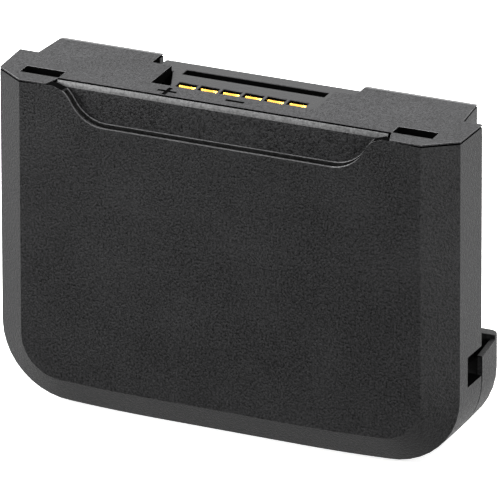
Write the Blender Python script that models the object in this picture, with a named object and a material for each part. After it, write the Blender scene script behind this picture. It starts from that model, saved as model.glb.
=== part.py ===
"""Rechargeable clip-in battery pack for a wireless bodypack transmitter.

The pack stands upright: +X to its right, -Y out of its front face, +Z up. The origin is
the middle of its base. Sizes below are in millimetres. A depth is measured back from the
front face, and becomes a world Y in place().
"""
import math

import bmesh
import bpy

MM = 0.001

# Overall pack
WIDTH = 64.1                # widest, at the rear edge of the front shell, low down
HEIGHT = 45.0
DEPTH = 15.6
WALL = 1.3                  # front shell
REAR_WALL = 1.2             # rear shell
CLEARANCE = 0.3             # between pieces that touch on the real pack
SEAM = 0.25                 # open parting line that shows outside

# Front shell
FRONT_SHELL_DEPTH = 9.4     # from the front face to the shell's rear edge
BEVEL_INSET = 4.1           # bevel round the front face, across the face
BEVEL_DEPTH = 3.0           # and back along the sides
BASE_RADIUS = 9.7           # lower corners
BASE_FLAT = 20.0            # flat middle of the underside
BASE_RISE = 0.3             # how far the underside curves up from there to the corners
SIDE_DRAFT_FORWARD = 0.3    # each side comes in towards the face
SIDE_DRAFT_UP = 0.28        # and towards the top
CORNER_STEPS = 10
BASE_STEPS = 4

# Rear shell
HUMP_WIDTH_FRONT = 58.3
HUMP_WIDTH_BACK = 57.2
HUMP_CORNER_LEAST = 0.5     # a lower corner of the hump stays at least this round
LIP_START_DEPTH = 3.9       # how far the rear shell reaches forward inside the front shell
LIP_TOP = 38.4
FOOT_HEIGHT = 14.6
FOOT_BACK_RADIUS = 1.2
LABEL_WIDTH = 42.0
LABEL_HEIGHT = 24.0
LABEL_MIDDLE_Z = 27.0
LABEL_THICKNESS = 0.2

# Catch pockets, where the transmitter's latch arms hook in at both sides
CATCH_FRONT = 5.3
CATCH_LOW = 10.9
CATCH_HIGH = 15.0
CATCH_BACK = 14.0
CATCH_LIP = 0.75            # outer wall of the foot beside the pocket
CATCH_LIP_FRONT_TOP = 13.3
CATCH_LIP_BACK_TOP = 14.0

# Top cap
RIM_HEIGHT = 0.22
CAP_THICKNESS = 1.3
TOP_CENTRE_X = -0.25        # grip recess, latch slots and connector share this centre
SLOT_INNER = 22.8
SLOT_OUTER = 28.2
SLOT_FRONT = 2.45
SLOT_BACK = 4.6

# Finger grip cut into the front shell, and the insert that stands behind it
GRIP_BOTTOM = 40.07
GRIP_HALF_WIDTH = 15.5      # straight part of the lower edge
GRIP_LOWER_RADIUS = 5.0
GRIP_UPPER_RADIUS = 3.2
GRIP_SLOPE = math.radians(58)
GRIP_DRAFT = 0.28
GRIP_STEPS = 8
INSERT_GAP = 0.2
INSERT_CHAMFER = 0.65
INSERT_SETBACK = 0.3
INSERT_HALF_WIDTH = 22.3
INSERT_SKIRT_HALF_WIDTH = 24.2
INSERT_THICKNESS = 1.1
INSERT_BASE = 38.6
PARTING_DEPTH = 1.85        # rear edge of the insert's top
PARTING_GAP = 0.4           # joint between the insert and the top cap

# Connector opening in the top cap and the contact carrier in it
CONNECTOR_DROP = 0.8        # carrier face below the top of the pack
OPENING_FRONT = 5.6
OPENING_STEP = 12.0
OPENING_HALF_NARROW = 11.25
OPENING_HALF_WIDE = 14.0
OPENING_SHIFT = -0.2        # connector opening against TOP_CENTRE_X
KEY_CORNER = 2.6            # corner cut off the carrier, along its front edge
KEY_SEAM = 0.45             # wider joint on that side of the carrier
CARRIER_SHIFT = -0.1        # carrier face and its windows against TOP_CENTRE_X
CARRIER_PLATE = 0.8
CARRIER_GAP = 0.2
CARRIER_BLOCK_FRONT = 6.4
CARRIER_BLOCK_BACK = 10.6
CONTACT_COUNT = 6
CONTACT_PITCH = 3.04
WINDOW_WIDTH = 2.6
WINDOW_FRONT = 7.5
WINDOW_BACK = 9.1
LONG_SLOT_WIDTH = 19.6
LONG_SLOT_FRONT = 11.6
LONG_SLOT_BACK = 13.2
LONG_SLOT_DEPTH = 2.4
CARRIER_FLOOR = 0.6

# Contact springs
CONTACT_WIDTH = 2.3
CONTACT_STOCK = 0.2

# Cell
CELL_WIDTH = 48.0
CELL_HEIGHT = 33.6
CELL_THICKNESS = 10.0
CELL_FRONT = 2.6
CELL_BASE = 4.2
CELL_EDGE_RADIUS = 3.0

# Circuit board over the cell
BOARD_WIDTH = 54.4
BOARD_FRONT = 5.2
BOARD_BACK = 13.5
BOARD_THICKNESS = 1.0
BOARD_ABOVE_CELL = 0.9
TAB_WIDTH = 4.0
TAB_STOCK = 0.2
TAB_OFFSET_X = 19.0

SHELL_TOP = HEIGHT - RIM_HEIGHT - SEAM
CARRIER_TOP = HEIGHT - CONNECTOR_DROP
CELL_TOP = CELL_BASE + CELL_HEIGHT
BOARD_BASE = CELL_TOP + BOARD_ABOVE_CELL
BOARD_TOP = BOARD_BASE + BOARD_THICKNESS
PART_SEAT = BOARD_TOP + CLEARANCE
CORE_BASE = HEIGHT - CAP_THICKNESS
REAR_INSIDE = DEPTH - REAR_WALL
CELL_BACK = CELL_FRONT + CELL_THICKNESS
FOOT_FRONT = FRONT_SHELL_DEPTH + SEAM
HALF = WIDTH / 2
HUMP_HALF = HUMP_WIDTH_FRONT / 2
HUMP_HALF_BACK = HUMP_WIDTH_BACK / 2
CARRIER_CENTRE_X = TOP_CENTRE_X + CARRIER_SHIFT
OPENING_CENTRE_X = TOP_CENTRE_X + OPENING_SHIFT
OVERCUT = 1.0               # how far a cutter runs past what it cuts


# ---------------------------------------------------------------- shared helpers

def place(x, depth, z):
    """World position in metres of a point given in millimetres."""
    return (x * MM, (depth - DEPTH / 2) * MM, z * MM)


def finish_mesh(name, bm, material=None):
    """Turn a bmesh into a named object with outward faces."""
    bmesh.ops.recalc_face_normals(bm, faces=bm.faces)
    mesh = bpy.data.meshes.new(name)
    bm.to_mesh(mesh)
    bm.free()
    piece = bpy.data.objects.new(name, mesh)
    bpy.context.collection.objects.link(piece)
    if material is not None:
        mesh.materials.append(material)
    return piece


def loft(name, rings, material=None):
    """Closed solid through rings of equal point counts, each a list of (x, depth, z)."""
    bm = bmesh.new()
    loops = []
    for ring in rings:
        verts = [bm.verts.new(place(*point)) for point in ring]
        count = len(verts)
        loops.append([bm.edges.new((verts[i], verts[(i + 1) % count])) for i in range(count)])
    for first, second in zip(loops, loops[1:]):
        bmesh.ops.bridge_loops(bm, edges=first + second)
    bmesh.ops.edgenet_fill(bm, edges=loops[0])
    bmesh.ops.edgenet_fill(bm, edges=loops[-1])
    return finish_mesh(name, bm, material)


def prism(name, outline, low, high, axis, material=None):
    """Extrude a flat outline along X, Y (depth) or Z."""
    order = {
        "X": lambda a, b, at: (at, a, b),
        "Y": lambda a, b, at: (a, at, b),
        "Z": lambda a, b, at: (a, b, at),
    }[axis]
    return loft(name, [[order(a, b, at) for a, b in outline] for at in (low, high)], material)


def box(name, xs, depths, zs, material=None):
    """Rectangular block between pairs of limits."""
    outline = [(xs[0], depths[0]), (xs[1], depths[0]), (xs[1], depths[1]), (xs[0], depths[1])]
    return prism(name, outline, zs[0], zs[1], "Z", material)


def combine(piece, tool, operation):
    """Boolean a tool into a piece and keep the tool as a wire guide."""
    step = piece.modifiers.new(f"{operation.lower()}_{tool.name}", "BOOLEAN")
    step.operation = operation
    step.solver = "EXACT"
    step.object = tool
    tool.hide_render = True
    tool.display_type = "WIRE"
    return piece


def cut(piece, tool):
    return combine(piece, tool, "DIFFERENCE")


def join(piece, tool):
    return combine(piece, tool, "UNION")


def material(name, colour, roughness, metallic=0.0):
    """Plain Principled material."""
    made = bpy.data.materials.new(name)
    made.use_nodes = True
    shader = made.node_tree.nodes["Principled BSDF"]
    shader.inputs["Base Color"].default_value = (*colour, 1.0)
    shader.inputs["Roughness"].default_value = roughness
    shader.inputs["Metallic"].default_value = metallic
    return made


def side_draft(depth):
    """How far the sides have come in at a depth, forward of the front shell's rear edge."""
    run = FRONT_SHELL_DEPTH - BEVEL_DEPTH
    share = (FRONT_SHELL_DEPTH - max(depth, BEVEL_DEPTH)) / run
    return SIDE_DRAFT_FORWARD * max(share, 0.0)


def top_draft(z):
    """How far the sides have come in at a height, above the lower corners."""
    return SIDE_DRAFT_UP * (z - BASE_RADIUS) / (HEIGHT - BASE_RADIUS)


def half_width_at_top(depth):
    """Half width of the pack under the top cap."""
    return HALF - side_draft(depth) - top_draft(HEIGHT)


def upright_outline(half_width, base, top, radius, draft=0.0, rise=0.0):
    """Front view outline with rounded lower corners, as (x, z) points."""
    points = [(half_width - draft, top)]
    corner_x = half_width - radius
    flat = BASE_FLAT / 2
    for side in (1, -1):
        half = []
        for step in range(CORNER_STEPS + 1):
            turn = step / CORNER_STEPS * math.pi / 2
            half.append((side * (corner_x + radius * math.cos(turn)),
                         base + rise + radius - radius * math.sin(turn)))
        for step in range(1, BASE_STEPS + 1):
            share = 1 - step / BASE_STEPS
            half.append((side * (flat + (corner_x - flat) * share), base + rise * share ** 2))
        points.extend(half if side == 1 else reversed(half))
    points.append((draft - half_width, top))
    return points


def upright_ring(depth, inset, top, rise=0.0):
    """Ring of the pack's own front outline, pulled in by inset."""
    half_width = HALF - side_draft(depth) - inset
    outline = upright_outline(half_width, inset, top, BASE_RADIUS - inset, top_draft(top), rise)
    return [(x, depth, z) for x, z in outline]


def hump_ring(depth, half_width, base, top):
    """Ring of the rear shell's hump, whose corners follow the front shell's inside."""
    radius = BASE_RADIUS - (HALF - HUMP_HALF)
    radius -= max(0.0, base - WALL - CLEARANCE)
    radius = max(radius, HUMP_CORNER_LEAST)
    outline = upright_outline(half_width, base, top, radius)
    return [(x, depth, z) for x, z in outline]


def bevel_inside(wall):
    """Where a wall of even thickness turns inside the front bevel: two (inset, depth) points."""
    length = math.hypot(BEVEL_INSET, BEVEL_DEPTH)
    across, back = BEVEL_INSET / length, BEVEL_DEPTH / length
    inset = BEVEL_INSET + wall * back
    depth = wall * across
    slope = BEVEL_INSET / BEVEL_DEPTH
    return ((inset - (wall - depth) * slope, wall), (wall, depth + (inset - wall) / slope))


def rounded_box(name, xs, depths, zs, radius, material=None):
    """Block whose four corners in plan are round."""
    steps = 5
    outline = []
    corners = ((xs[1], depths[0], -90), (xs[1], depths[1], 0),
               (xs[0], depths[1], 90), (xs[0], depths[0], 180))
    for corner_x, corner_d, start in corners:
        centre_x = corner_x + (radius if corner_x == xs[0] else -radius)
        centre_d = corner_d + (radius if corner_d == depths[0] else -radius)
        for step in range(steps + 1):
            turn = math.radians(start + 90 * step / steps)
            outline.append((centre_x + radius * math.cos(turn),
                            centre_d + radius * math.sin(turn)))
    return prism(name, outline, zs[0], zs[1], "Z", material)


# ---------------------------------------------------------------- front shell

def grip_curve(bottom):
    """Half of the finger grip's edge, from the middle outwards, as (x, z) from its centre."""
    points = []
    for step in range(GRIP_STEPS + 1):
        turn = GRIP_SLOPE * step / GRIP_STEPS
        points.append((GRIP_HALF_WIDTH + GRIP_LOWER_RADIUS * math.sin(turn),
                       bottom + GRIP_LOWER_RADIUS * (1 - math.cos(turn))))
    lower_x, lower_z = points[-1]
    upper_z = HEIGHT - GRIP_UPPER_RADIUS * (1 - math.cos(GRIP_SLOPE))
    upper_x = lower_x + (upper_z - lower_z) / math.tan(GRIP_SLOPE)
    centre_x = upper_x + GRIP_UPPER_RADIUS * math.sin(GRIP_SLOPE)
    for step in range(GRIP_STEPS + 1):
        turn = GRIP_SLOPE * (1 - step / GRIP_STEPS)
        points.append((centre_x - GRIP_UPPER_RADIUS * math.sin(turn),
                       HEIGHT - GRIP_UPPER_RADIUS * (1 - math.cos(turn))))
    return points


def grip_ring(depth, bottom):
    """Closed ring of the grip cut-out at one depth."""
    half = grip_curve(bottom)
    top = HEIGHT + OVERCUT
    right = [(TOP_CENTRE_X + x, z) for x, z in half] + [(TOP_CENTRE_X + half[-1][0], top)]
    left = [(TOP_CENTRE_X - (x - TOP_CENTRE_X), z) for x, z in reversed(right)]
    return [(x, depth, z) for x, z in right + left]


def make_front_cover(plastic):
    """Front half of the case: face, bevel, sides and base, open at the back and the top."""
    (face_inset, face_depth), (side_inset, side_depth) = bevel_inside(WALL)
    flange_inset = HALF - HUMP_HALF - CLEARANCE
    flange_front = FRONT_SHELL_DEPTH - REAR_WALL
    above = HEIGHT + OVERCUT
    cover = loft("front_cover", [
        upright_ring(0, BEVEL_INSET, SHELL_TOP, BASE_RISE),
        upright_ring(BEVEL_DEPTH, 0, SHELL_TOP, BASE_RISE),
        upright_ring(FRONT_SHELL_DEPTH, 0, SHELL_TOP, BASE_RISE),
    ], plastic)
    hollow = loft("front_cover_hollow", [
        upright_ring(face_depth, face_inset, above),
        upright_ring(side_depth, side_inset, above),
        upright_ring(flange_front, side_inset, above),
        hump_ring(flange_front + 0.01, HALF - flange_inset, WALL, above),
        hump_ring(FRONT_SHELL_DEPTH + OVERCUT, HALF - flange_inset, WALL, above),
    ])
    cut(cover, hollow)
    slope = GRIP_DRAFT / WALL
    cut(cover, loft("grip_cutout", [
        grip_ring(-OVERCUT, GRIP_BOTTOM - slope * OVERCUT),
        grip_ring(WALL + OVERCUT, GRIP_BOTTOM + slope * (WALL + OVERCUT)),
    ]))
    for side, sign in (("right", 1), ("left", -1)):
        xs = sorted((sign * (HUMP_HALF + CLEARANCE / 2), sign * (HALF + OVERCUT)))
        cut(cover, box(f"catch_window_{side}", xs,
                       (CATCH_FRONT, FRONT_SHELL_DEPTH + OVERCUT), (CATCH_LOW, CATCH_HIGH)))
    return cover


# ---------------------------------------------------------------- rear shell

def make_rear_cover(plastic):
    """Rear half: hump over the cell, full-width foot, catch pockets, ledges for the board."""
    lip_base = WALL + CLEARANCE
    cover = loft("rear_cover", [
        hump_ring(LIP_START_DEPTH, HUMP_HALF, lip_base, SHELL_TOP),
        hump_ring(FOOT_FRONT, HUMP_HALF, lip_base, SHELL_TOP),
        hump_ring(DEPTH, HUMP_HALF_BACK, lip_base, SHELL_TOP),
    ], plastic)
    round_steps = 4
    foot_rings = [upright_ring(FOOT_FRONT, 0, FOOT_HEIGHT, BASE_RISE)]
    for step in range(round_steps + 1):
        turn = math.pi / 2 * step / round_steps
        foot_rings.append(upright_ring(DEPTH - FOOT_BACK_RADIUS * (1 - math.sin(turn)),
                                       FOOT_BACK_RADIUS * (1 - math.cos(turn)), FOOT_HEIGHT,
                                       BASE_RISE))
    join(cover, loft("foot", foot_rings))
    inner_base = lip_base + 1.0
    taper = (HUMP_HALF - HUMP_HALF_BACK) / (DEPTH - FOOT_FRONT)
    inner_half = HUMP_HALF - REAR_WALL
    above = HEIGHT + OVERCUT
    cut(cover, loft("rear_cover_hollow", [
        hump_ring(LIP_START_DEPTH - OVERCUT, inner_half, inner_base, above),
        hump_ring(FOOT_FRONT, inner_half, inner_base, above),
        hump_ring(REAR_INSIDE, inner_half - taper * (REAR_INSIDE - FOOT_FRONT), inner_base, above),
    ]))
    ledge_top = BOARD_BASE - CLEARANCE
    ledge_inner = CELL_WIDTH / 2 + CLEARANCE
    ledges = ((ledge_top - 1.5, ledge_top), (28.0, 29.2), (9.0, 10.2))
    for side, sign in (("right", 1), ("left", -1)):
        xs = sorted((sign * ledge_inner, sign * (inner_half + 0.3)))
        for number, zs in enumerate(ledges):
            join(cover, box(f"ledge_{side}_{number}", xs, (FOOT_FRONT + 0.2, REAR_INSIDE + 0.3), zs))
        pocket_outer = HALF - CATCH_LIP
        xs = sorted((sign * HUMP_HALF, sign * pocket_outer))
        cut(cover, box(f"catch_pocket_{side}", xs,
                       (FOOT_FRONT - OVERCUT, CATCH_BACK), (CATCH_LOW, FOOT_HEIGHT + OVERCUT)))
        lip_outline = [(FOOT_FRONT - OVERCUT, CATCH_LIP_FRONT_TOP), (CATCH_BACK, CATCH_LIP_BACK_TOP),
                       (CATCH_BACK, FOOT_HEIGHT + OVERCUT),
                       (FOOT_FRONT - OVERCUT, FOOT_HEIGHT + OVERCUT)]
        xs = sorted((sign * (HUMP_HALF + 0.01), sign * (HALF + OVERCUT)))
        cut(cover, prism(f"catch_lip_{side}", lip_outline, xs[0], xs[1], "X"))
    cut(cover, box("lip_clearance", (-HALF, HALF),
                   (LIP_START_DEPTH - OVERCUT, FRONT_SHELL_DEPTH + SEAM / 2),
                   (LIP_TOP, HEIGHT + OVERCUT)))
    wide = OPENING_HALF_WIDE
    cut(cover, box("connector_gap", (OPENING_CENTRE_X - wide, OPENING_CENTRE_X + wide),
                   (REAR_INSIDE - OVERCUT, DEPTH + OVERCUT),
                   (CARRIER_TOP - CARRIER_PLATE - SEAM, HEIGHT + OVERCUT)))
    label_seat = DEPTH - LABEL_THICKNESS - CLEARANCE
    margin = CLEARANCE
    cut(cover, box("label_recess",
                   (-LABEL_WIDTH / 2 - margin, LABEL_WIDTH / 2 + margin),
                   (label_seat, DEPTH + OVERCUT),
                   (LABEL_MIDDLE_Z - LABEL_HEIGHT / 2 - margin,
                    LABEL_MIDDLE_Z + LABEL_HEIGHT / 2 + margin)))
    return cover


# ---------------------------------------------------------------- top cap and grip insert

def opening_outline(gap):
    """Plan of the stepped connector opening, from its right rear end round to the left."""
    narrow = OPENING_HALF_NARROW - gap
    wide = OPENING_HALF_WIDE - gap
    front, step = OPENING_FRONT + gap, OPENING_STEP + gap
    right = [(wide, step), (narrow, step), (narrow, front)]
    left = [(-x, depth) for x, depth in reversed(right)]
    return [(OPENING_CENTRE_X + x, depth) for x, depth in right + left]


def make_top_cap(plastic):
    """Closing plate: a thin rim over the shell edges and a thicker core between the walls."""
    grip_end = INSERT_HALF_WIDTH + 0.45
    strip_end = grip_end + 0.75
    cap_front = PARTING_DEPTH + PARTING_GAP
    opening = opening_outline(0.0)
    wide = OPENING_HALF_WIDE
    front_half = half_width_at_top(BEVEL_DEPTH)
    rear_half = half_width_at_top(FRONT_SHELL_DEPTH)
    rim = [(TOP_CENTRE_X - strip_end, 0), (TOP_CENTRE_X - grip_end, cap_front),
           (TOP_CENTRE_X + grip_end, cap_front), (TOP_CENTRE_X + strip_end, 0),
           (front_half - BEVEL_INSET, 0), (front_half, BEVEL_DEPTH), (rear_half, FRONT_SHELL_DEPTH),
           (HUMP_HALF, FRONT_SHELL_DEPTH), (HUMP_HALF_BACK, DEPTH),
           (OPENING_CENTRE_X + wide, DEPTH)]
    rim += opening
    rim += [(OPENING_CENTRE_X - wide, DEPTH), (-HUMP_HALF_BACK, DEPTH),
            (-HUMP_HALF, FRONT_SHELL_DEPTH), (-rear_half, FRONT_SHELL_DEPTH),
            (-front_half, BEVEL_DEPTH), (BEVEL_INSET - front_half, 0)]
    cap = prism("top_cap", rim, HEIGHT - RIM_HEIGHT, HEIGHT, "Z", plastic)

    (face_inset, _), (side_inset, side_depth) = bevel_inside(WALL + CLEARANCE)
    core_front = WALL + CLEARANCE
    insert_back = WALL + INSERT_GAP + INSERT_THICKNESS + CLEARANCE
    flange_front = FRONT_SHELL_DEPTH - REAR_WALL - CLEARANCE
    core_half = HUMP_HALF - REAR_WALL - CLEARANCE
    taper = (HUMP_HALF - HUMP_HALF_BACK) / (DEPTH - FOOT_FRONT)
    core_back = REAR_INSIDE - CLEARANCE
    core_half_back = core_half - taper * (core_back - FOOT_FRONT)
    right = [(front_half - face_inset, core_front), (front_half - side_inset, side_depth),
             (half_width_at_top(flange_front) - side_inset, flange_front), (core_half, flange_front),
             (core_half, FOOT_FRONT), (core_half_back, core_back)]
    left = [(-x, depth) for x, depth in reversed(right)]
    core = [(TOP_CENTRE_X - strip_end, core_front), (TOP_CENTRE_X - strip_end, insert_back),
            (TOP_CENTRE_X + strip_end, insert_back), (TOP_CENTRE_X + strip_end, core_front)]
    core += right + [(OPENING_CENTRE_X + wide, core_back)] + opening
    core += [(OPENING_CENTRE_X - wide, core_back)] + left
    join(cap, prism("top_cap_core", core, CORE_BASE, HEIGHT - RIM_HEIGHT / 2, "Z"))
    for side, sign in (("right", 1), ("left", -1)):
        xs = sorted((TOP_CENTRE_X + sign * SLOT_INNER, TOP_CENTRE_X + sign * SLOT_OUTER))
        cut(cap, box(f"latch_slot_{side}", xs, (SLOT_FRONT, SLOT_BACK),
                     (CORE_BASE - OVERCUT, HEIGHT + OVERCUT)))
    return cap


def make_grip_insert(plastic):
    """Wall behind the finger grip, with a chamfered top edge and a wider skirt below."""
    face = WALL + INSERT_GAP
    back = face + INSERT_THICKNESS
    neck = CORE_BASE - CLEARANCE
    upper = [(face, INSERT_BASE), (face, HEIGHT - INSERT_CHAMFER),
             (face + INSERT_SETBACK, HEIGHT), (PARTING_DEPTH, HEIGHT),
             (PARTING_DEPTH, neck), (back, neck), (back, INSERT_BASE)]
    insert = prism("grip_insert", upper, TOP_CENTRE_X - INSERT_HALF_WIDTH,
                   TOP_CENTRE_X + INSERT_HALF_WIDTH, "X", plastic)
    skirt = box("grip_insert_skirt",
                (TOP_CENTRE_X - INSERT_SKIRT_HALF_WIDTH, TOP_CENTRE_X + INSERT_SKIRT_HALF_WIDTH),
                (face, back), (INSERT_BASE, neck))
    return join(insert, skirt)


# ---------------------------------------------------------------- connector

def contact_centre(number):
    """X of a contact's middle, counted from the left."""
    return CARRIER_CENTRE_X + (number - (CONTACT_COUNT - 1) / 2) * CONTACT_PITCH


def make_contact_carrier(plastic):
    """Moulded connector face with six windows, a long key slot and a cut corner."""
    plate_base = CARRIER_TOP - CARRIER_PLATE
    outline = opening_outline(CARRIER_GAP)
    right = outline[:3]
    rear = DEPTH - CARRIER_GAP
    narrow_left = OPENING_CENTRE_X - OPENING_HALF_NARROW
    wide_left = OPENING_CENTRE_X - OPENING_HALF_WIDE + KEY_SEAM
    cut_corner = [(narrow_left + KEY_CORNER, OPENING_FRONT + CARRIER_GAP),
                  (narrow_left + CARRIER_GAP, OPENING_STEP - CARRIER_GAP),
                  (narrow_left + CARRIER_GAP, OPENING_STEP + CARRIER_GAP),
                  (wide_left, OPENING_STEP + CARRIER_GAP), (wide_left, rear)]
    plate = [(right[0][0], rear)] + right + cut_corner
    carrier = prism("contact_carrier", plate, plate_base, CARRIER_TOP, "Z", plastic)

    block_half = (CONTACT_COUNT * CONTACT_PITCH + 1.2) / 2
    xs = (CARRIER_CENTRE_X - block_half, CARRIER_CENTRE_X + block_half)
    join(carrier, box("contact_block", xs, (CARRIER_BLOCK_FRONT, CARRIER_BLOCK_BACK),
                      (PART_SEAT, plate_base + 0.2)))
    slot_floor = CARRIER_TOP - LONG_SLOT_DEPTH
    pocket_back = LONG_SLOT_BACK + CARRIER_FLOOR
    slot_half = LONG_SLOT_WIDTH / 2
    pocket_half = slot_half + CARRIER_FLOOR
    join(carrier, box("key_pocket", (CARRIER_CENTRE_X - pocket_half, CARRIER_CENTRE_X + pocket_half),
                      (CARRIER_BLOCK_BACK - 0.2, pocket_back),
                      (slot_floor - CARRIER_FLOOR, plate_base + 0.2)))
    floor_left = OPENING_CENTRE_X - OPENING_HALF_NARROW - CLEARANCE
    join(carrier, box("corner_floor", (floor_left, CARRIER_CENTRE_X - block_half + 0.5),
                      (OPENING_FRONT, pocket_back - 0.1),
                      (slot_floor - CARRIER_FLOOR - 0.4, slot_floor - CARRIER_FLOOR + 0.3)))
    cut(carrier, box("key_slot", (CARRIER_CENTRE_X - slot_half, CARRIER_CENTRE_X + slot_half),
                     (LONG_SLOT_FRONT, LONG_SLOT_BACK), (slot_floor, HEIGHT)))
    half_window = WINDOW_WIDTH / 2
    for number in range(CONTACT_COUNT):
        middle = contact_centre(number)
        xs = (middle - half_window, middle + half_window)
        cut(carrier, box(f"contact_window_{number + 1}", xs, (WINDOW_FRONT, WINDOW_BACK),
                         (plate_base - 0.3, HEIGHT)))
        cut(carrier, box(f"contact_shaft_{number + 1}", xs,
                         (WINDOW_FRONT - 0.5, WINDOW_BACK + 0.6), (PART_SEAT - OVERCUT, plate_base)))
    return carrier


def make_contact(number, metal):
    """Gold-plated leaf spring: soldered foot, upright leg and a bowed nose under the window."""
    foot = PART_SEAT + CONTACT_STOCK / 2
    rear, top = WINDOW_BACK, CARRIER_TOP
    spine = [(WINDOW_FRONT - 0.1, foot), (rear - 0.5, foot), (rear - 0.2, foot + 0.45),
             (rear - 0.4, foot + 1.9), (rear - 0.85, top - 1.1), (rear - 0.92, top - 0.85),
             (rear - 0.8, top - 0.55), (rear - 0.48, top - 0.27)]
    outline = []
    for side in (1, -1):
        points = spine if side == 1 else spine[::-1]
        for index, (depth, z) in enumerate(points):
            before = points[max(index - 1, 0)]
            after = points[min(index + 1, len(points) - 1)]
            run = math.hypot(after[0] - before[0], after[1] - before[1])
            outline.append((depth - (after[1] - before[1]) / run * CONTACT_STOCK / 2,
                            z + (after[0] - before[0]) / run * CONTACT_STOCK / 2))
    middle = contact_centre(number - 1)
    return prism(f"contact_{number}", outline, middle - CONTACT_WIDTH / 2,
                 middle + CONTACT_WIDTH / 2, "X", metal)


# ---------------------------------------------------------------- inside

def make_cell(can, insulator, foam):
    """Prismatic lithium-ion cell, its insulating header and the foam that holds it."""
    half = CELL_WIDTH / 2
    header = 1.2
    rounded_box("cell_can", (-half, half), (CELL_FRONT, CELL_BACK),
                (CELL_BASE, CELL_TOP - header - CLEARANCE), CELL_EDGE_RADIUS, can)
    inset = 0.4
    rounded_box("cell_header", (-half + inset, half - inset), (CELL_FRONT + inset, CELL_BACK - inset),
                (CELL_TOP - header, CELL_TOP), CELL_EDGE_RADIUS - inset, insulator)
    pad_half = half - 3.0
    box("front_pad", (-pad_half, pad_half), (WALL + CLEARANCE, CELL_FRONT - CLEARANCE),
        (CELL_BASE + 2.5, CELL_TOP - 4.0), foam)
    box("rear_pad", (-pad_half, pad_half), (CELL_BACK + CLEARANCE, REAR_INSIDE - CLEARANCE),
        (CELL_BASE + 7.0, CELL_TOP - 10.0), foam)
    lip_floor = WALL + CLEARANCE + 1.0
    box("base_pad", (-pad_half + 4, pad_half - 4), (CELL_FRONT + 2.0, CELL_BACK - 1.0),
        (lip_floor + CLEARANCE, CELL_BASE - CLEARANCE), foam)


def make_board(laminate):
    """Protection and charge board, held on the rear shell's ledges."""
    half = BOARD_WIDTH / 2
    return box("circuit_board", (-half, half), (BOARD_FRONT, BOARD_BACK),
               (BOARD_BASE, BOARD_TOP), laminate)


def make_tab(name, middle, metal):
    """Nickel strip from the cell header, round the board's rear edge and onto its top."""
    low = CELL_TOP + CLEARANCE
    high = PART_SEAT + TAB_STOCK
    rear = BOARD_BACK + CLEARANCE
    start = BOARD_BACK - 6.0
    landing = BOARD_BACK - 2.2
    outline = [(start, low), (rear + TAB_STOCK, low), (rear + TAB_STOCK, high), (landing, high),
               (landing, high - TAB_STOCK), (rear, high - TAB_STOCK), (rear, low + TAB_STOCK),
               (start, low + TAB_STOCK)]
    return prism(name, outline, middle - TAB_WIDTH / 2, middle + TAB_WIDTH / 2, "X", metal)


def make_board_parts(chip, solder, ceramic):
    """Parts soldered on the board, on both sides of the connector."""
    parts = (
        ("gauge_chip", (-17.5, 8.8), (4.4, 4.4, 1.0), chip),
        ("mosfet_1", (14.4, 7.6), (3.2, 3.0, 1.0), chip),
        ("mosfet_2", (18.8, 7.6), (3.2, 3.0, 1.0), chip),
        ("sense_resistor", (23.5, 7.6), (3.2, 1.8, 0.6), ceramic),
        ("capacitor_1", (-22.2, 7.4), (2.0, 1.25, 1.1), ceramic),
        ("capacitor_2", (-22.2, 9.6), (2.0, 1.25, 1.1), ceramic),
        ("capacitor_3", (-25.2, 8.5), (1.6, 1.0, 0.9), ceramic),
        ("thermistor", (-25.2, 11.4), (1.6, 0.9, 0.6), ceramic),
        ("fuse", (24.2, 11.0), (4.5, 3.0, 0.9), solder),
    )
    for name, (x, depth), (width, length, height), finish in parts:
        box(name, (x - width / 2, x + width / 2), (depth - length / 2, depth + length / 2),
            (PART_SEAT, PART_SEAT + height), finish)


def make_label(film):
    """Plain adhesive film in the recess on the back."""
    return box("rear_label", (-LABEL_WIDTH / 2, LABEL_WIDTH / 2), (DEPTH - LABEL_THICKNESS, DEPTH),
               (LABEL_MIDDLE_Z - LABEL_HEIGHT / 2, LABEL_MIDDLE_Z + LABEL_HEIGHT / 2), film)


# ---------------------------------------------------------------- assembly

for leftover in list(bpy.data.objects):
    bpy.data.objects.remove(leftover, do_unlink=True)

black_plastic = material("black_plastic", (0.028, 0.028, 0.029), 0.55)
carrier_plastic = material("carrier_plastic", (0.022, 0.022, 0.023), 0.5)
gold = material("gold_plating", (0.95, 0.62, 0.16), 0.22, 1.0)
laminate_green = material("laminate", (0.02, 0.09, 0.04), 0.4)
chip_black = material("chip_black", (0.02, 0.02, 0.02), 0.45)
ceramic_tan = material("ceramic_tan", (0.35, 0.26, 0.17), 0.5)
fuse_body = material("fuse_body", (0.55, 0.45, 0.2), 0.5)
can_metal = material("cell_aluminium", (0.72, 0.73, 0.74), 0.35, 1.0)
header_plastic = material("header_plastic", (0.05, 0.05, 0.06), 0.6)
foam_black = material("foam", (0.06, 0.06, 0.06), 0.95)
nickel = material("nickel", (0.66, 0.64, 0.6), 0.3, 1.0)
label_film = material("label_film", (0.05, 0.05, 0.052), 0.4)

make_front_cover(black_plastic)
make_rear_cover(black_plastic)
make_top_cap(black_plastic)
make_grip_insert(black_plastic)
make_contact_carrier(carrier_plastic)
for contact_number in range(1, CONTACT_COUNT + 1):
    make_contact(contact_number, gold)
make_board(laminate_green)
make_board_parts(chip_black, fuse_body, ceramic_tan)
make_tab("negative_tab", -TAB_OFFSET_X, nickel)
make_tab("positive_tab", TAB_OFFSET_X, nickel)
make_cell(can_metal, header_plastic, foam_black)
make_label(label_film)
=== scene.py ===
"""Rechargeable clip-in battery pack for a wireless bodypack transmitter, in its studio setting.

The file follows the pack as it is put together, from the cell outwards.
"""
import math

import bmesh
import bpy
from mathutils import Matrix, Vector


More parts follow.
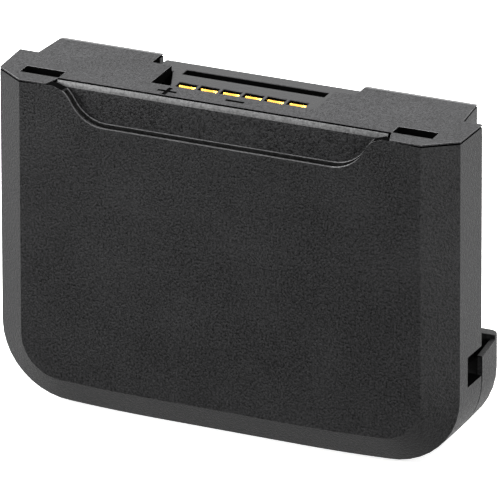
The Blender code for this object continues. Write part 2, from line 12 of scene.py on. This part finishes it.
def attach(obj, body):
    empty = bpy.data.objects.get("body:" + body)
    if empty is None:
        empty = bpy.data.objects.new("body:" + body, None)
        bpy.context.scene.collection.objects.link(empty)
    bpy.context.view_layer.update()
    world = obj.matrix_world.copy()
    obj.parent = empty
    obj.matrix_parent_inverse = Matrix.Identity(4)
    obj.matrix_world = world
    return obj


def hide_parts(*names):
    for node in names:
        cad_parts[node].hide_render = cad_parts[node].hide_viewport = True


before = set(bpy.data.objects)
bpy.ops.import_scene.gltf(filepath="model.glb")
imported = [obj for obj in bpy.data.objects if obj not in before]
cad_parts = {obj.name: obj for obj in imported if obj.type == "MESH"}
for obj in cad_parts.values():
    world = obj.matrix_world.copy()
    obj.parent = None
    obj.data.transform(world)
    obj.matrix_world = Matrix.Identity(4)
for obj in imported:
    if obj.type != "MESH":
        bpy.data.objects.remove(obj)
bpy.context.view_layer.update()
MM = 0.001

# ---------------------------------------------------------------- studio
# A long lens most of a metre away, above the pack and to its right. A pale floor runs
# out to a bright backdrop; the room behind the camera is dim, so the face stays dark.
LENS_TURN = 0.4186
LENS_RISE = 0.4038
LENS_ROLL = 0.0022
LENS_DISTANCE = 885.2 * MM
LENS_AIM = Vector((0.204, 0.2, 21.888)) * MM
LENS_CENTRE_RIGHT = 0.586 * MM
LENS_CENTRE_UP = 1.197 * MM
LENS_FOCAL = 503.1
SENSOR_WIDTH = 36.0

towards_lens = Vector((math.sin(LENS_TURN) * math.cos(LENS_RISE),
                       -math.cos(LENS_TURN) * math.cos(LENS_RISE),
                       math.sin(LENS_RISE)))
level_right = Vector((math.cos(LENS_TURN), math.sin(LENS_TURN), 0.0))
level_up = towards_lens.cross(level_right)
lens_right = math.cos(LENS_ROLL) * level_right - math.sin(LENS_ROLL) * level_up
lens_up = math.sin(LENS_ROLL) * level_right + math.cos(LENS_ROLL) * level_up
lens_place = LENS_AIM + towards_lens * LENS_DISTANCE
lens_place += lens_right * LENS_CENTRE_RIGHT + lens_up * LENS_CENTRE_UP
camera_data = bpy.data.cameras.new("studio_camera")
camera_data.sensor_width = SENSOR_WIDTH
camera_data.lens = LENS_FOCAL
camera_data.clip_end = 20.0
camera = bpy.data.objects.new("studio_camera", camera_data)
turned = Matrix((lens_right, lens_up, towards_lens)).transposed().to_4x4()
camera.matrix_world = Matrix.Translation(lens_place) @ turned
bpy.context.collection.objects.link(camera)
bpy.context.scene.camera = camera
bpy.context.scene.view_settings.view_transform = "Standard"


def ranged(tree, value, before, after):
    """Node that maps a value from one range to another; returns it."""
    node = tree.nodes.new("ShaderNodeMapRange")
    node.inputs["From Min"].default_value, node.inputs["From Max"].default_value = before
    node.inputs["To Min"].default_value, node.inputs["To Max"].default_value = after
    tree.links.new(value, node.inputs["Value"])
    return node


def combined(tree, operation, first, second):
    """Output of a node that works out one sum on two values."""
    node = tree.nodes.new("ShaderNodeMath")
    node.operation = operation
    tree.links.new(first, node.inputs[0])
    tree.links.new(second, node.inputs[1])
    return node.outputs[0]


# Where each change of brightness begins and ends, as the sine of the direction's angle.
BACK_FADE = (-0.75, 0.15)
OVERHEAD_FADE = (0.5, 1.0)
LOW_FADE = (-0.72, -0.42)
LOW_SHARE = 0.60


def studio_sky(back, front, overhead):
    """Backdrop bright behind the pack, dim behind the camera and a little dimmer low down."""
    world = bpy.data.worlds.new("studio")
    world.use_nodes = True
    bpy.context.scene.world = world
    tree = world.node_tree
    coordinates = tree.nodes.new("ShaderNodeTexCoord")
    split = tree.nodes.new("ShaderNodeSeparateXYZ")
    tree.links.new(coordinates.outputs["Generated"], split.inputs[0])
    ramp = ranged(tree, split.outputs["Y"], BACK_FADE, (front, back))
    ramp.interpolation_type = "SMOOTHSTEP"
    top = ranged(tree, split.outputs["Z"], OVERHEAD_FADE, (0.0, overhead))
    low = ranged(tree, split.outputs["Z"], LOW_FADE, (LOW_SHARE, 1.0))
    shaded = combined(tree, "MULTIPLY", ramp.outputs[0], low.outputs[0])
    total = combined(tree, "ADD", shaded, top.outputs[0])
    background = tree.nodes["Background"]
    tree.links.new(total, background.inputs["Strength"])
    background.inputs["Color"].default_value = (1.0, 1.0, 1.0, 1.0)


studio_sky(back=1.5, front=0.14, overhead=0.05)


def softbox(name, place, aim, size, power):
    """Rectangular lamp panel facing a point."""
    lamp = bpy.data.lights.new(name, "AREA")
    lamp.shape = "RECTANGLE"
    lamp.size, lamp.size_y = size
    lamp.energy = power
    holder = bpy.data.objects.new(name, lamp)
    facing = (Vector(aim) - Vector(place)).to_track_quat("-Z", "Y")
    holder.matrix_world = Matrix.Translation(place) @ facing.to_matrix().to_4x4()
    bpy.context.collection.objects.link(holder)


# Name, place, point it faces, size of the panel and power, in metres and watts.
LAMPS = (
    ("overhead_softbox", (-0.05, -0.22, 0.80), (0, 0, 0.02), (0.30, 0.30), 6.6),
    ("left_softbox", (-0.75, 0.08, 0.58), (0, 0, 0.02), (0.5, 0.6), 8.0),
    ("right_softbox", (0.90, 0.0, 0.30), (0, 0, 0.02), (0.4, 0.6), 2.0),
    ("near_left_lamp", (-0.115, -0.115, 0.075), (-0.02, 0, 0.03), (0.04, 0.04), 0.165),
    ("right_front_lamp", (0.32, -0.28, 0.035), (0.02, 0, 0.02), (0.10, 0.10), 0.7),
)
for lamp_setting in LAMPS:
    softbox(*lamp_setting)

# The floor is drawn for the camera only and lights nothing: the sky does that.
FLOOR_HALF = 6.0
FLOOR_DROP = 0.0001
floor_mesh = bpy.data.meshes.new("floor")
sheet = bmesh.new()
bmesh.ops.create_grid(sheet, x_segments=1, y_segments=1, size=FLOOR_HALF)
bmesh.ops.translate(sheet, verts=sheet.verts, vec=(0, 0, -FLOOR_DROP))
sheet.to_mesh(floor_mesh)
sheet.free()
floor = bpy.data.objects.new("floor", floor_mesh)
bpy.context.collection.objects.link(floor)
floor_paint = bpy.data.materials.new("floor_paint")
floor_paint.use_nodes = True
floor_shader = floor_paint.node_tree.nodes["Principled BSDF"]
floor_shader.inputs["Base Color"].default_value = (0.93, 0.93, 0.93, 1)
floor_shader.inputs["Roughness"].default_value = 0.9
floor_shader.inputs["Specular IOR Level"].default_value = 0.1
floor_shader.inputs["Emission Color"].default_value = (1, 1, 1, 1)
floor_shader.inputs["Emission Strength"].default_value = 0.7
floor_mesh.materials.append(floor_paint)
floor.visible_diffuse = False
floor.visible_glossy = False


# ---------------------------------------------------------------- cell
# A prismatic lithium-ion cell in a drawn aluminium can, closed by a black insulating header.
# Foam pads hold it; nickel strips carry its current up and round to the board.
CLOUD_SCALE = 120.0
CLOUD_SHARE = 0.45
SPECK_BEFORE = (0.32, 0.68)
SPECK_AFTER = (-0.2, 0.75)


def grained(name, colour, roughness, metallic=0.0, grain=0.15, depth=0.004, mottle=0.15,
            stretch=(1.0, 1.0, 1.0), spread=0.06, specular=None):
    """Surface with a fine grain in relief and faint cloudy changes of tone and gloss.

    The grain's size and depth are in millimetres; mottle and spread say how far the tone
    and the roughness swing to either side.
    """
    finish = bpy.data.materials.new(name)
    finish.use_nodes = True
    tree = finish.node_tree
    shader = tree.nodes["Principled BSDF"]
    shader.inputs["Metallic"].default_value = metallic
    if specular is not None:
        shader.inputs["Specular IOR Level"].default_value = specular
    coordinates = tree.nodes.new("ShaderNodeTexCoord")
    mapping = tree.nodes.new("ShaderNodeMapping")
    mapping.inputs["Scale"].default_value = stretch
    tree.links.new(coordinates.outputs["Object"], mapping.inputs["Vector"])
    fine = tree.nodes.new("ShaderNodeTexNoise")
    fine.inputs["Scale"].default_value = 1.0 / (grain * MM)
    fine.inputs["Detail"].default_value = 3.0
    fine.inputs["Roughness"].default_value = 0.6
    tree.links.new(mapping.outputs[0], fine.inputs["Vector"])
    relief = tree.nodes.new("ShaderNodeBump")
    relief.inputs["Strength"].default_value = 1.0
    relief.inputs["Distance"].default_value = depth * MM
    tree.links.new(fine.outputs["Fac"], relief.inputs["Height"])
    tree.links.new(relief.outputs["Normal"], shader.inputs["Normal"])
    cloud = tree.nodes.new("ShaderNodeTexNoise")
    cloud.inputs["Scale"].default_value = CLOUD_SCALE
    cloud.inputs["Detail"].default_value = 4.0
    tree.links.new(coordinates.outputs["Object"], cloud.inputs["Vector"])
    speck = ranged(tree, fine.outputs["Fac"], SPECK_BEFORE, SPECK_AFTER)
    both = tree.nodes.new("ShaderNodeMath")
    both.operation = "MULTIPLY_ADD"
    both.inputs[1].default_value = CLOUD_SHARE
    tree.links.new(cloud.outputs["Fac"], both.inputs[0])
    tree.links.new(speck.outputs[0], both.inputs[2])
    tone = tree.nodes.new("ShaderNodeMix")
    tone.data_type = "RGBA"
    tone.inputs["A"].default_value = (*[c * (1 - mottle) for c in colour], 1)
    tone.inputs["B"].default_value = (*[min(1.0, c * (1 + mottle)) for c in colour], 1)
    tree.links.new(both.outputs[0], tone.inputs["Factor"])
    tree.links.new(tone.outputs["Result"], shader.inputs["Base Color"])
    gloss = ranged(tree, both.outputs[0], (0.0, 1.0), (roughness - spread, roughness + spread))
    tree.links.new(gloss.outputs[0], shader.inputs["Roughness"])
    return finish


def coat(node, finish):
    """Put a finish on a CAD node that keeps its own shape."""
    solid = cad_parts[node]
    if solid.material_slots:
        for held in solid.material_slots:
            held.material = finish
    else:
        solid.data.materials.append(finish)


can_aluminium = grained("can_aluminium", (0.70, 0.71, 0.72), 0.36, 1.0, 0.4, 0.003, 0.06,
                        stretch=(1.0, 1.0, 0.08))
header_black = grained("header_black", (0.035, 0.035, 0.04), 0.55)
foam_grey = grained("foam_grey", (0.05, 0.05, 0.052), 0.92, grain=0.5, depth=0.06)
strip_nickel = grained("strip_nickel", (0.66, 0.63, 0.58), 0.3, 1.0, 0.3, 0.002, 0.05,
                       stretch=(0.1, 1.0, 1.0))
coat("cell_can", can_aluminium)
coat("cell_header", header_black)
for pad in ("front_pad", "rear_pad", "base_pad"):
    coat(pad, foam_grey)
for strip in ("positive_tab", "negative_tab"):
    coat(strip, strip_nickel)

# ---------------------------------------------------------------- board
# Dark green laminate with the fuel gauge, two switching transistors and small ceramic parts
# soldered on its top, to both sides of the connector.
laminate_green = grained("laminate_green", (0.006, 0.030, 0.014), 0.35, grain=0.3, depth=0.002)
chip_epoxy = grained("chip_epoxy", (0.018, 0.018, 0.019), 0.45, grain=0.08)
fired_ceramic = grained("fired_ceramic", (0.34, 0.25, 0.16), 0.5, grain=0.08)
fuse_resin = grained("fuse_resin", (0.5, 0.42, 0.18), 0.45, grain=0.1)
coat("circuit_board", laminate_green)
for chip in ("gauge_chip", "mosfet_1", "mosfet_2"):
    coat(chip, chip_epoxy)
for small in ("sense_resistor", "capacitor_1", "capacitor_2", "capacitor_3", "thermistor"):
    coat(small, fired_ceramic)
coat("fuse", fuse_resin)


# ---------------------------------------------------------------- contacts
# Six leaf springs in gold-plated bronze, soldered at the foot. Each bows forward under its
# window, where a blade of the transmitter presses it back.
SAME_PLACE = 0.002
FLAT_ANGLE = 0.6
SHARP_ANGLE = 28.0


def softened(name, node, radius, segments=3, choose=None, shape=None):
    """Copy of a CAD node, reshaped if asked, with its chosen sharp edges rounded."""
    solid = bmesh.new()
    solid.from_mesh(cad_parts[node].data)
    bmesh.ops.remove_doubles(solid, verts=solid.verts, dist=SAME_PLACE * MM)
    bmesh.ops.dissolve_limit(solid, angle_limit=math.radians(FLAT_ANGLE),
                             verts=solid.verts, edges=solid.edges)
    if shape is not None:
        shape(solid)
    edges = []
    for edge in solid.edges:
        if len(edge.link_faces) != 2 or edge.calc_face_angle(0.0) < math.radians(SHARP_ANGLE):
            continue
        middle = (edge.verts[0].co + edge.verts[1].co) / 2
        if choose is None or choose(middle / MM):
            edges.append(edge)
    bmesh.ops.bevel(solid, geom=edges, offset=radius * MM, offset_type="OFFSET",
                    affect="EDGES", segments=segments, profile=0.5, material=-1,
                    clamp_overlap=True)
    bmesh.ops.recalc_face_normals(solid, faces=solid.faces)
    mesh = bpy.data.meshes.new(name)
    solid.to_mesh(mesh)
    solid.free()
    mesh.shade_smooth()
    piece = bpy.data.objects.new(name, mesh)
    bpy.context.collection.objects.link(piece)
    even = piece.modifiers.new("even_shading", "WEIGHTED_NORMAL")
    even.keep_sharp = True
    even.weight = 80
    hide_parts(node)
    return piece


contact_gold = grained("contact_gold", (0.92, 0.48, 0.07), 0.26, 1.0, 0.2, 0.0015, 0.04,
                       stretch=(0.15, 1.0, 1.0))
for number in range(1, 7):
    leaf = softened(f"contact_leaf_{number}", f"contact_{number}", 0.05, segments=2)
    leaf.data.materials.append(contact_gold)
    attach(leaf, f"spring_{number}")

# ---------------------------------------------------------------- contact carrier
# Black nylon moulding let into the top cap. Six windows over the contacts, a long blind
# slot for the transmitter's rib, and one corner cut off as a key.
carrier_nylon = grained("carrier_nylon", (0.020, 0.020, 0.0207), 0.46, grain=0.30, depth=0.03,
                        mottle=0.6, spread=0.12, specular=0.28)
# Near-black with no gloss: painted shade on the walls of holes, wells, pockets, weld lines and
# joints that lie in shade.
well_black = grained("well_black", (0.0025, 0.0025, 0.0025), 0.75, grain=0.2, depth=0.01,
                     specular=0.0)
CARRIER_FACE = 44.2


def finish_faces(piece, finish, chosen):
    """Give the chosen faces of a piece another finish, such as painted shade down a deep well or
    a painted highlight on an edge.
    """
    piece.data.materials.append(finish)
    number = len(piece.data.materials) - 1
    for face in piece.data.polygons:
        if chosen(face.center / MM, face.normal):
            face.material_index = number


carrier = softened("connector_face", "contact_carrier", 0.10,
                   choose=lambda at: at.z > CARRIER_FACE - 0.05)
carrier.data.materials.append(carrier_nylon)
# Painted shade on the walls and floors of the windows and the slot, below the carrier's face.
finish_faces(carrier, well_black, lambda at, normal: at.z < CARRIER_FACE - 0.12)
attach(carrier, "case")

# ---------------------------------------------------------------- case
# Two glass-filled shells and a closing cap, moulded in black with a fine spark-eroded grain
# and welded together. The scoop in the front shell is a finger grip with a wall behind it.
case_black = grained("case_black", (0.0165, 0.0165, 0.0171), 0.47, grain=0.27, depth=0.12,
                     mottle=0.95, spread=0.16, specular=0.25)
cap_black = grained("cap_black", (0.031, 0.031, 0.032), 0.5, grain=0.27, depth=0.13,
                    mottle=0.95, spread=0.16, specular=0.10)
# Light grey: painted highlight on rounded edges, the lips' right end and the grip wall's chamfer,
# where light would catch.
edge_black = grained("edge_black", (0.12, 0.12, 0.121), 0.40, grain=0.30, depth=0.03,
                     mottle=0.4)
# Mid grey: painted sheen on the grip's thin lips and the cap's rear strip, lighter where light
# would fall on them.
lip_black = grained("lip_black", (0.058, 0.058, 0.059), 0.42, grain=0.30, depth=0.03,
                    mottle=0.4)
shaded_black = grained("shaded_black", (0.013, 0.013, 0.013), 0.6, grain=0.30, depth=0.03,
                       mottle=0.6, specular=0.06)

# The pack's own planes and edges, in millimetres.
FACE_Y = -7.8
PACK_DEPTH = 15.6
TOP_Z = 45.0
CAP_THICKNESS = 0.22
SHELL_TOP_Z = 44.53
SHELL_TOP_BAND = (44.3, 44.7)
WELD_LINE = 0.2
GRIP_CENTRE = -0.25
GRIP_HALF = 22.9
LEDGE_LOW_Z = 39.7
LATCH_LOW_Z = 10.7
NEAR = 0.03

# What the visible shells add to them, in millimetres.
GRIP_CORNER_FROM = 21.0
GRIP_CORNER_TO = 22.5
GRIP_CORNER_Z = 44.86
LIP_WIDTH = 0.24
CHANNEL_SLOPE = 0.06
CHANNEL_DEPTH = 0.55
PARTING_REAR = 2.25
PARTING_GAP = 0.12
REAR_BAND = 0.8
REAR_DROP = 0.13


def close_weld(solid):
    """Bring the shell's top edge up until only a fine weld line is left under the cap."""
    for vert in solid.verts:
        if abs(vert.co.z / MM - SHELL_TOP_Z) < NEAR:
            vert.co.z = (TOP_Z - CAP_THICKNESS - WELD_LINE) * MM


def on_ledge(at, normal):
    """True on the cut-out's own wall, between the face and the inside of the front shell."""
    return (FACE_Y + 0.1 < at.y < FACE_Y + 1.25 and 39.9 < at.z < 44.6 and normal.z > 0.2
            and abs(at.x - GRIP_CENTRE) < GRIP_HALF)


def groove_ledge(solid):
    """Close the weld, bring the grip's upper corners up to the cap, and channel its ledge."""
    for vert in solid.verts:
        aside = abs(vert.co.x / MM - GRIP_CENTRE)
        if (abs(vert.co.z / MM - SHELL_TOP_Z) < NEAR and GRIP_CORNER_FROM < aside < GRIP_HALF
                and vert.co.y / MM < FACE_Y + 1.5):
            vert.co.z = GRIP_CORNER_Z * MM
            vert.co.x += math.copysign((GRIP_CORNER_TO - aside) * MM, vert.co.x)
    close_weld(solid)
    ledge = [face for face in solid.faces
             if on_ledge(face.calc_center_median() / MM, face.normal)]
    for thickness, depth in ((LIP_WIDTH, 0.0), (CHANNEL_SLOPE, -CHANNEL_DEPTH)):
        bmesh.ops.inset_region(solid, faces=ledge, thickness=thickness * MM, depth=depth * MM,
                               use_even_offset=True, use_boundary=True)


def in_channel(at, normal):
    """True on the walls and floor of the channel sunk in the ledge."""
    return (39.2 < at.z < 44.4 and FACE_Y + 0.3 < at.y < FACE_Y + 1.1
            and abs(at.x - GRIP_CENTRE) < 22.5)


def beside_channel(at, normal):
    """True on the two thin lips in front of the channel and behind it."""
    return (at.z > LEDGE_LOW_Z and normal.z > 0.25
            and (at.y < FACE_Y + 0.32 or FACE_Y + 1.0 < at.y < FACE_Y + 1.4))


def on_lip(at, normal):
    """True on the lips within the cut-out."""
    return (beside_channel(at, normal) and at.z < 44.8
            and abs(at.x - GRIP_CENTRE) < GRIP_HALF)


def on_bright_lip(at, normal):
    """True on the right end of the lips, which catches the light."""
    return beside_channel(at, normal) and 12.5 < at.x < 22.6


def under_cap(at, normal):
    """True on the top edge of a shell, where it is welded to the cap."""
    return normal.z > 0.9 and SHELL_TOP_BAND[0] < at.z < SHELL_TOP_BAND[1]


def in_front_catch(at, normal):
    """True in the front shell's share of the catch pocket low on each side."""
    return (abs(at.x) > 29.3 and LATCH_LOW_Z < at.z < 15.2 and abs(normal.x) < 0.5
            and FACE_Y + 5.2 < at.y < FACE_Y + 9.6)


def beside_rear_catch(at, normal):
    """True round the rear shell's share of that pocket, which lies in shade."""
    return (LATCH_LOW_Z < at.z < 14.3 and abs(at.x) < 31.9 and at.y < 6.25
            and (normal.z < 0.5 or abs(at.x) < 31.2))


def in_rear_catch(at, normal):
    """True on the wall of that pocket which faces the front."""
    return LATCH_LOW_Z < at.z < 13.6 and abs(at.x) > 31.1 and normal.y < -0.5


front = softened("front_shell", "front_cover", 0.13, shape=groove_ledge,
                 choose=lambda at: at.z > 44.5 or at.y < FACE_Y + 9.5)
front.data.materials.append(case_black)
finish_faces(front, shaded_black, in_channel)
# Painted sheen on the lips in the cut-out, and a painted highlight on their right end.
finish_faces(front, lip_black, on_lip)
finish_faces(front, edge_black, on_bright_lip)
# Painted shade on the weld line under the cap and in the catch pocket.
finish_faces(front, well_black,
             lambda at, normal: under_cap(at, normal) or in_front_catch(at, normal))
rear = softened("rear_shell", "rear_cover", 0.2, shape=close_weld)
rear.data.materials.append(case_black)
finish_faces(rear, shaded_black, beside_rear_catch)
# Painted shade on the weld line under the cap and on the catch pocket's front-facing wall.
finish_faces(rear, well_black,
             lambda at, normal: under_cap(at, normal) or in_rear_catch(at, normal))


def ease_rear_edge(solid):
    """Slope the cap's last strip down to its rear edge, and open its joint with the grip wall."""
    band = FACE_Y + PACK_DEPTH - REAR_BAND
    bmesh.ops.bisect_plane(solid, geom=solid.verts[:] + solid.edges[:] + solid.faces[:],
                           plane_co=(0, band * MM, 0), plane_no=(0, 1, 0))
    for vert in solid.verts:
        if vert.co.z / MM > TOP_Z - 0.05 and vert.co.y / MM > band + 0.7:
            vert.co.z -= REAR_DROP * MM
        if abs(vert.co.y / MM - FACE_Y - PARTING_REAR) < NEAR:
            vert.co.y += PARTING_GAP * MM
    for edge in solid.edges:
        if all(abs(vert.co.y / MM - band) < 0.01 for vert in edge.verts):
            edge.smooth = False


def beside_parting(at):
    """True along the cap's joint with the grip wall."""
    return FACE_Y + 2.1 < at.y < FACE_Y + 2.55


def on_cap_edge(at, normal):
    """True on the rounded top edges of the cap, but not along its joint with the grip wall."""
    return at.z > TOP_Z - 0.2 and 0.25 < normal.z < 0.96 and not beside_parting(at)


def in_a_hole(at, normal):
    """True on the walls of the latch slots and of the connector opening."""
    aside = abs(at.x - GRIP_CENTRE)
    slot = 22.6 < aside < 28.4 and FACE_Y + 2.3 < at.y < FACE_Y + 4.8
    opening = aside < 14.4 and FACE_Y + 5.4 < at.y < FACE_Y + 15.2
    return at.z < TOP_Z - 0.25 or (normal.z < 0.45 and (slot or opening))


cap = softened("closing_cap", "top_cap", 0.09, shape=ease_rear_edge)
cap.data.materials.append(cap_black)
# Painted shade on everything below the top face, and on the walls of the latch slots and the
# connector opening.
finish_faces(cap, well_black, in_a_hole)
# Painted highlight on the cap's rounded top edges.
finish_faces(cap, edge_black, on_cap_edge)
# Painted sheen on the cap's rear strip.
finish_faces(cap, lip_black,
             lambda at, normal: normal.z > 0.9 and at.y > FACE_Y + 14.8)
# Painted shade in the cap's joint with the grip wall.
finish_faces(cap, well_black,
             lambda at, normal: normal.y < -0.5 and beside_parting(at))


def widen_insert(solid):
    """Carry the insert's neck out to the ends of the cap's strips."""
    for vert in solid.verts:
        aside = abs(vert.co.x / MM - GRIP_CENTRE)
        if 22.2 < aside < 22.4:
            vert.co.x += math.copysign(0.28 * MM, vert.co.x)


wall = softened("grip_wall", "grip_insert", 0.07, shape=widen_insert)
wall.data.materials.append(case_black)
# Painted shade on the back of the grip wall.
finish_faces(wall, well_black, lambda at, normal: normal.y > 0.5)
# Painted highlight on the grip wall's top chamfer.
finish_faces(wall, edge_black,
             lambda at, normal: at.z > 44.2 and normal.y < -0.5 and normal.z > 0.2)
for shell in (front, rear, cap, wall):
    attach(shell, "case")

# ---------------------------------------------------------------- polarity marks
# A plus and a minus beside the first and third contacts, filled with flat black ink.
mark_ink = grained("mark_ink", (0.002, 0.002, 0.002), 0.9, grain=0.1, depth=0.002,
                   specular=0.0)
INK_THICKNESS = 0.02
INK_SUNK = 0.008


def bar_mark(name, bars):
    """Flat mark of one or more bars lying on the cap: (x, depth, length, width) each."""
    ink = bmesh.new()
    for x, depth, length, width in bars:
        made = bmesh.ops.create_cube(ink, size=1.0)
        bmesh.ops.scale(ink, verts=made["verts"],
                        vec=(length * MM, width * MM, INK_THICKNESS * MM))
        bmesh.ops.translate(ink, verts=made["verts"],
                            vec=(x * MM, (FACE_Y + depth) * MM, (TOP_Z - INK_SUNK) * MM))
    mesh = bpy.data.meshes.new(name)
    ink.to_mesh(mesh)
    ink.free()
    mesh.materials.append(mark_ink)
    piece = bpy.data.objects.new(name, mesh)
    bpy.context.collection.objects.link(piece)
    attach(piece, "case")


bar_mark("plus_mark", ((-8.6, 3.75, 2.6, 0.55), (-8.6, 3.0, 0.55, 0.95),
                       (-8.6, 4.5, 0.55, 0.95)))
bar_mark("minus_mark", ((0.6, 4.0, 2.5, 0.55),))

# ---------------------------------------------------------------- label
# Plain black film stuck in its recess on the back. Nothing is printed on it.
film = softened("label_film", "rear_label", 0.05, segments=2)
label_black = grained("label_film", (0.03, 0.03, 0.031), 0.38, grain=0.4, depth=0.002)
film.data.materials.append(label_black)
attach(film, "case")
